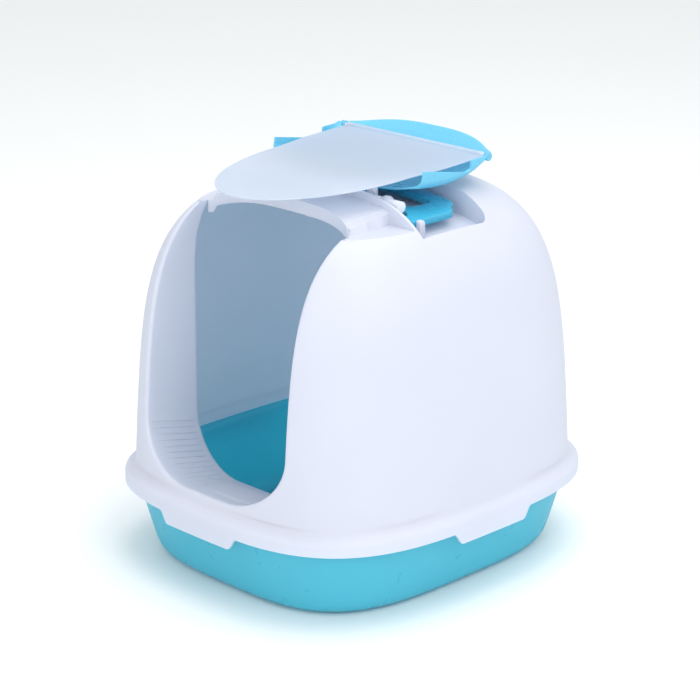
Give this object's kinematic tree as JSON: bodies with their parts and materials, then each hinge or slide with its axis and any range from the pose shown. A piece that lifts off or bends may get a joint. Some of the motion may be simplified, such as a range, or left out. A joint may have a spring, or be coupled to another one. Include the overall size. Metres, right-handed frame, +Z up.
{
  "type": "hooded cat litter box",
  "caption": "Oval open tray under a lift-off domed hood with an entrance tunnel, a flip-back lid over the front of the roof, a swinging flap door and a carry handle.",
  "frame": {"origin": "on the floor, under the centre of the tray", "axes": "+Z up, -Y towards the entrance, +X to the right seen from behind the box and to the viewer's right seen from the front"},
  "size_m": [0.444, 0.49, 0.4776],
  "materials": {
    "tray": "satin moulded",
    "hood": "satin moulded",
    "white_trim": "moulded",
    "handle": "satin moulded",
    "lid": "satin moulded",
    "filter": "moulded",
    "carbon": "carbon felt",
    "frosted": "frosted translucent"
  },
  "bodies": {
    "tray": {"tray": "tray"},
    "hood": {"hood": "hood", "carry_bar": "white_trim", "handle": "handle", "handle_pin_left": "handle", "handle_pin_right": "handle", "hinge_pin_left": "white_trim", "hinge_pin_right": "white_trim", "filter_cover": "filter", "filter_pad": "carbon", "filter_cassette": "white_trim", "filter_latch": "white_trim"},
    "lid": {"lid": "lid"},
    "flap": {"flap_door": "frosted", "flap_pin_left": "frosted", "flap_pin_right": "frosted"}
  },
  "joints": [
    {"name": "hood_lift", "type": "slide", "parent": "tray", "child": "hood", "axis": [0, 0, 1], "range_m": [0, 0.12]},
    {"name": "lid_flip", "type": "hinge", "parent": "hood", "child": "lid", "pos_m": [0, -0.033, 0.442], "axis": [1, 0, 0], "range_deg": [0, 190]},
    {"name": "flap_swing", "type": "hinge", "parent": "lid", "child": "flap", "pos_m": [0, 0.098, 0.465], "axis": [1, 0, 0], "range_deg": [-103.5, 0]}
  ],
  "couplings": [
    {"joint": "flap_swing", "follows": "lid_flip", "ratio": -0.5421}
  ]
}
